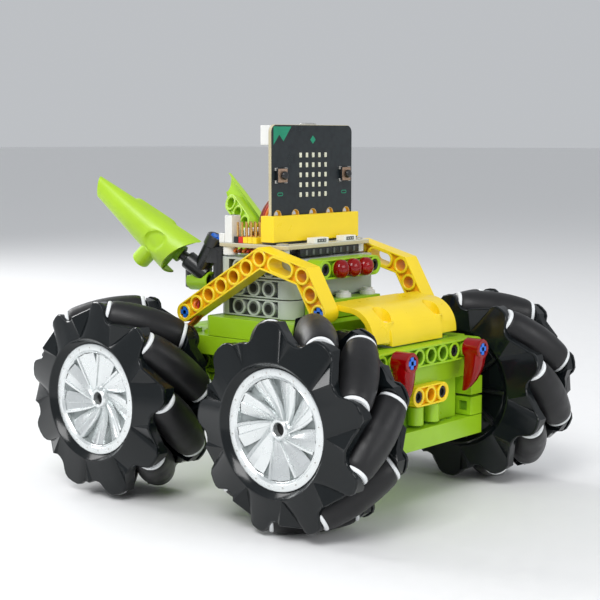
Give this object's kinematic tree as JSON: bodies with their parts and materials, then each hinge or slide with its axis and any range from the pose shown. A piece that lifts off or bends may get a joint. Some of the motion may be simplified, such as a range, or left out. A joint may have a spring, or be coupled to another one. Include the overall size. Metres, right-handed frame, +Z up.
{
  "type": "mecanum wheel robot",
  "caption": "Small toy-block robot car on mecanum wheels whose barrel rollers spin at forty-five degrees, with an upright controller board and swept wings.",
  "frame": {"origin": "on the ground, in the middle of the four wheels' contact rectangle", "axes": "wheel axles along X, with +X on the right of a viewer who stands in front of the robot; front is -Y; +Z up"},
  "size_m": [0.154, 0.1759, 0.1499],
  "materials": {
    "wheel_hub": "glossy black moulded plastic",
    "roller_rubber": "matte black rubber",
    "hub_cap": "satin silver plated plastic",
    "washer_white": "white moulded washer",
    "lime_plastic": "semi-gloss lime moulded plastic",
    "yellow_plastic": "semi-gloss yellow moulded plastic",
    "grey_plastic": "semi-gloss light grey moulded plastic",
    "black_plastic": "semi-gloss black moulded plastic",
    "blue_plastic": "blue moulded pins",
    "red_lens": "translucent red moulded plastic",
    "expansion_board": "white solder-masked board with a pale edge",
    "socket_yellow": "yellow edge connector",
    "controller_board": "black solder-masked board",
    "gold": "gold plated contacts",
    "tin": "tinned metal",
    "white_plastic": "white connector housings",
    "button_black": "black button plunger",
    "orange_wire": "insulated ribbon lead"
  },
  "bodies": {
    "chassis": {"chassis_frame": "lime_plastic", "front_beam": "lime_plastic", "front_bumper": "lime_plastic", "light_beam": "lime_plastic", "hood_panel": "yellow_plastic", "side_arm_left": "yellow_plastic", "side_arm_right": "yellow_plastic", "frame_stack": "grey_plastic", "claw_left": "red_lens", "claw_right": "red_lens", "expansion_board": "expansion_board", "controller_board": "controller_board", "wing_bracket": "black_plastic", "front_motors": "black_plastic", "rear_motors": "black_plastic", "signal_cable": "orange_wire"},
    "wheel_fl": {"wheel_hub_fl": "wheel_hub"},
    "wheel_fr": {"wheel_hub_fr": "wheel_hub"},
    "wheel_rl": {"wheel_hub_rl": "wheel_hub"},
    "wheel_rr": {"wheel_hub_rr": "wheel_hub"},
    "wing_left": {"wing_left": "lime_plastic"},
    "wing_right": {"wing_right": "lime_plastic"},
    "button_left": {"button_left": "button_black"},
    "button_right": {"button_right": "button_black"},
    "roller_fl_1": {"roller_fl_1": "roller_rubber"},
    "roller_fl_2": {"roller_fl_2": "roller_rubber"},
    "roller_fl_3": {"roller_fl_3": "roller_rubber"},
    "roller_fl_4": {"roller_fl_4": "roller_rubber"},
    "roller_fl_5": {"roller_fl_5": "roller_rubber"},
    "roller_fl_6": {"roller_fl_6": "roller_rubber"},
    "roller_fl_7": {"roller_fl_7": "roller_rubber"},
    "roller_fl_8": {"roller_fl_8": "roller_rubber"},
    "roller_fl_9": {"roller_fl_9": "roller_rubber"},
    "roller_fr_1": {"roller_fr_1": "roller_rubber"},
    "roller_fr_2": {"roller_fr_2": "roller_rubber"},
    "roller_fr_3": {"roller_fr_3": "roller_rubber"},
    "roller_fr_4": {"roller_fr_4": "roller_rubber"},
    "roller_fr_5": {"roller_fr_5": "roller_rubber"},
    "roller_fr_6": {"roller_fr_6": "roller_rubber"},
    "roller_fr_7": {"roller_fr_7": "roller_rubber"},
    "roller_fr_8": {"roller_fr_8": "roller_rubber"},
    "roller_fr_9": {"roller_fr_9": "roller_rubber"},
    "roller_rl_1": {"roller_rl_1": "roller_rubber"},
    "roller_rl_2": {"roller_rl_2": "roller_rubber"},
    "roller_rl_3": {"roller_rl_3": "roller_rubber"},
    "roller_rl_4": {"roller_rl_4": "roller_rubber"},
    "roller_rl_5": {"roller_rl_5": "roller_rubber"},
    "roller_rl_6": {"roller_rl_6": "roller_rubber"},
    "roller_rl_7": {"roller_rl_7": "roller_rubber"},
    "roller_rl_8": {"roller_rl_8": "roller_rubber"},
    "roller_rl_9": {"roller_rl_9": "roller_rubber"},
    "roller_rr_1": {"roller_rr_1": "roller_rubber"},
    "roller_rr_2": {"roller_rr_2": "roller_rubber"},
    "roller_rr_3": {"roller_rr_3": "roller_rubber"},
    "roller_rr_4": {"roller_rr_4": "roller_rubber"},
    "roller_rr_5": {"roller_rr_5": "roller_rubber"},
    "roller_rr_6": {"roller_rr_6": "roller_rubber"},
    "roller_rr_7": {"roller_rr_7": "roller_rubber"},
    "roller_rr_8": {"roller_rr_8": "roller_rubber"},
    "roller_rr_9": {"roller_rr_9": "roller_rubber"}
  },
  "joints": [
    {"name": "wheel_fl_spin", "type": "hinge", "parent": "chassis", "child": "wheel_fl", "pos_m": [-0.059, -0.048, 0.04], "axis": [1, 0, 0], "continuous": true},
    {"name": "wheel_fr_spin", "type": "hinge", "parent": "chassis", "child": "wheel_fr", "pos_m": [0.059, -0.048, 0.04], "axis": [1, 0, 0], "continuous": true},
    {"name": "wheel_rl_spin", "type": "hinge", "parent": "chassis", "child": "wheel_rl", "pos_m": [-0.059, 0.048, 0.04], "axis": [1, 0, 0], "continuous": true},
    {"name": "wheel_rr_spin", "type": "hinge", "parent": "chassis", "child": "wheel_rr", "pos_m": [0.059, 0.048, 0.04], "axis": [1, 0, 0], "continuous": true},
    {"name": "wing_left_twist", "type": "hinge", "parent": "chassis", "child": "wing_left", "pos_m": [-0.024, 0.04575, 0.09375], "axis": [-0.3393, 0.7198, 0.6056], "range_deg": [-30, 30]},
    {"name": "wing_right_twist", "type": "hinge", "parent": "chassis", "child": "wing_right", "pos_m": [0.024, 0.04575, 0.09375], "axis": [0.3393, 0.7198, 0.6056], "range_deg": [-30, 30]},
    {"name": "button_left_press", "type": "slide", "parent": "chassis", "child": "button_left", "axis": [0, 1, 0], "range_m": [0, 0.00025], "stiffness_N_per_m": 4000, "springref_m": -0.0001},
    {"name": "button_right_press", "type": "slide", "parent": "chassis", "child": "button_right", "axis": [0, 1, 0], "range_m": [0, 0.00025], "stiffness_N_per_m": 4000, "springref_m": -0.0001},
    {"name": "roller_fl_1_spin", "type": "hinge", "parent": "wheel_fl", "child": "roller_fl_1", "pos_m": [-0.059, -0.01802, 0.05175], "axis": [0.7071, 0.258, -0.6584], "continuous": true},
    {"name": "roller_fl_2_spin", "type": "hinge", "parent": "wheel_fl", "child": "roller_fl_2", "pos_m": [-0.059, -0.03259, 0.06827], "axis": [0.7071, 0.6208, -0.3385], "continuous": true},
    {"name": "roller_fl_3_spin", "type": "hinge", "parent": "wheel_fl", "child": "roller_fl_3", "pos_m": [-0.059, -0.05436, 0.07157], "axis": [0.7071, 0.6932, 0.1398], "continuous": true},
    {"name": "roller_fl_4_spin", "type": "hinge", "parent": "wheel_fl", "child": "roller_fl_4", "pos_m": [-0.059, -0.07316, 0.06009], "axis": [0.7071, 0.4411, 0.5526], "continuous": true},
    {"name": "roller_fl_5_spin", "type": "hinge", "parent": "wheel_fl", "child": "roller_fl_5", "pos_m": [-0.059, -0.08019, 0.03921], "axis": [0.7071, -0.0173, 0.7069], "continuous": true},
    {"name": "roller_fl_6_spin", "type": "hinge", "parent": "wheel_fl", "child": "roller_fl_6", "pos_m": [-0.059, -0.07215, 0.01871], "axis": [0.7071, -0.4676, 0.5304], "continuous": true},
    {"name": "roller_fl_7_spin", "type": "hinge", "parent": "wheel_fl", "child": "roller_fl_7", "pos_m": [-0.059, -0.05282, 0.00816], "axis": [0.7071, -0.6992, 0.1057], "continuous": true},
    {"name": "roller_fl_8_spin", "type": "hinge", "parent": "wheel_fl", "child": "roller_fl_8", "pos_m": [-0.059, -0.03122, 0.01252], "axis": [0.7071, -0.6036, -0.3684], "continuous": true},
    {"name": "roller_fl_9_spin", "type": "hinge", "parent": "wheel_fl", "child": "roller_fl_9", "pos_m": [-0.059, -0.01748, 0.02973], "axis": [0.7071, -0.2255, -0.6702], "continuous": true},
    {"name": "roller_fr_1_spin", "type": "hinge", "parent": "wheel_fr", "child": "roller_fr_1", "pos_m": [0.059, -0.01802, 0.05175], "axis": [-0.7071, 0.258, -0.6584], "continuous": true},
    {"name": "roller_fr_2_spin", "type": "hinge", "parent": "wheel_fr", "child": "roller_fr_2", "pos_m": [0.059, -0.03259, 0.06827], "axis": [-0.7071, 0.6208, -0.3385], "continuous": true},
    {"name": "roller_fr_3_spin", "type": "hinge", "parent": "wheel_fr", "child": "roller_fr_3", "pos_m": [0.059, -0.05436, 0.07157], "axis": [-0.7071, 0.6932, 0.1398], "continuous": true},
    {"name": "roller_fr_4_spin", "type": "hinge", "parent": "wheel_fr", "child": "roller_fr_4", "pos_m": [0.059, -0.07316, 0.06009], "axis": [-0.7071, 0.4411, 0.5526], "continuous": true},
    {"name": "roller_fr_5_spin", "type": "hinge", "parent": "wheel_fr", "child": "roller_fr_5", "pos_m": [0.059, -0.08019, 0.03921], "axis": [-0.7071, -0.0173, 0.7069], "continuous": true},
    {"name": "roller_fr_6_spin", "type": "hinge", "parent": "wheel_fr", "child": "roller_fr_6", "pos_m": [0.059, -0.07215, 0.01871], "axis": [-0.7071, -0.4676, 0.5304], "continuous": true},
    {"name": "roller_fr_7_spin", "type": "hinge", "parent": "wheel_fr", "child": "roller_fr_7", "pos_m": [0.059, -0.05282, 0.00816], "axis": [-0.7071, -0.6992, 0.1057], "continuous": true},
    {"name": "roller_fr_8_spin", "type": "hinge", "parent": "wheel_fr", "child": "roller_fr_8", "pos_m": [0.059, -0.03122, 0.01252], "axis": [-0.7071, -0.6036, -0.3684], "continuous": true},
    {"name": "roller_fr_9_spin", "type": "hinge", "parent": "wheel_fr", "child": "roller_fr_9", "pos_m": [0.059, -0.01748, 0.02973], "axis": [-0.7071, -0.2255, -0.6702], "continuous": true},
    {"name": "roller_rl_1_spin", "type": "hinge", "parent": "wheel_rl", "child": "roller_rl_1", "pos_m": [-0.059, 0.07451, 0.05828], "axis": [0.7071, -0.4015, 0.582], "continuous": true},
    {"name": "roller_rl_2_spin", "type": "hinge", "parent": "wheel_rl", "child": "roller_rl_2", "pos_m": [-0.059, 0.05655, 0.07104], "axis": [0.7071, -0.6817, 0.1878], "continuous": true},
    {"name": "roller_rl_3_spin", "type": "hinge", "parent": "wheel_rl", "child": "roller_rl_3", "pos_m": [-0.059, 0.0346, 0.06928], "axis": [0.7071, -0.6429, -0.2944], "continuous": true},
    {"name": "roller_rl_4_spin", "type": "hinge", "parent": "wheel_rl", "child": "roller_rl_4", "pos_m": [-0.059, 0.01891, 0.05381], "axis": [0.7071, -0.3033, -0.6388], "continuous": true},
    {"name": "roller_rl_5_spin", "type": "hinge", "parent": "wheel_rl", "child": "roller_rl_5", "pos_m": [-0.059, 0.01684, 0.03188], "axis": [0.7071, 0.1782, -0.6843], "continuous": true},
    {"name": "roller_rl_6_spin", "type": "hinge", "parent": "wheel_rl", "child": "roller_rl_6", "pos_m": [-0.059, 0.02935, 0.01375], "axis": [0.7071, 0.5764, -0.4096], "continuous": true},
    {"name": "roller_rl_7_spin", "type": "hinge", "parent": "wheel_rl", "child": "roller_rl_7", "pos_m": [-0.059, 0.05058, 0.0079], "axis": [0.7071, 0.7048, 0.0567], "continuous": true},
    {"name": "roller_rl_8_spin", "type": "hinge", "parent": "wheel_rl", "child": "roller_rl_8", "pos_m": [-0.059, 0.07061, 0.01707], "axis": [0.7071, 0.5035, 0.4965], "continuous": true},
    {"name": "roller_rl_9_spin", "type": "hinge", "parent": "wheel_rl", "child": "roller_rl_9", "pos_m": [-0.059, 0.08006, 0.03697], "axis": [0.7071, 0.0665, 0.704], "continuous": true},
    {"name": "roller_rr_1_spin", "type": "hinge", "parent": "wheel_rr", "child": "roller_rr_1", "pos_m": [0.059, 0.07451, 0.05828], "axis": [-0.7071, -0.4015, 0.582], "continuous": true},
    {"name": "roller_rr_2_spin", "type": "hinge", "parent": "wheel_rr", "child": "roller_rr_2", "pos_m": [0.059, 0.05655, 0.07104], "axis": [-0.7071, -0.6817, 0.1878], "continuous": true},
    {"name": "roller_rr_3_spin", "type": "hinge", "parent": "wheel_rr", "child": "roller_rr_3", "pos_m": [0.059, 0.0346, 0.06928], "axis": [-0.7071, -0.6429, -0.2944], "continuous": true},
    {"name": "roller_rr_4_spin", "type": "hinge", "parent": "wheel_rr", "child": "roller_rr_4", "pos_m": [0.059, 0.01891, 0.05381], "axis": [-0.7071, -0.3033, -0.6388], "continuous": true},
    {"name": "roller_rr_5_spin", "type": "hinge", "parent": "wheel_rr", "child": "roller_rr_5", "pos_m": [0.059, 0.01684, 0.03188], "axis": [-0.7071, 0.1782, -0.6843], "continuous": true},
    {"name": "roller_rr_6_spin", "type": "hinge", "parent": "wheel_rr", "child": "roller_rr_6", "pos_m": [0.059, 0.02935, 0.01375], "axis": [-0.7071, 0.5764, -0.4096], "continuous": true},
    {"name": "roller_rr_7_spin", "type": "hinge", "parent": "wheel_rr", "child": "roller_rr_7", "pos_m": [0.059, 0.05058, 0.0079], "axis": [-0.7071, 0.7048, 0.0567], "continuous": true},
    {"name": "roller_rr_8_spin", "type": "hinge", "parent": "wheel_rr", "child": "roller_rr_8", "pos_m": [0.059, 0.07061, 0.01707], "axis": [-0.7071, 0.5035, 0.4965], "continuous": true},
    {"name": "roller_rr_9_spin", "type": "hinge", "parent": "wheel_rr", "child": "roller_rr_9", "pos_m": [0.059, 0.08006, 0.03697], "axis": [-0.7071, 0.0665, 0.704], "continuous": true}
  ]
}
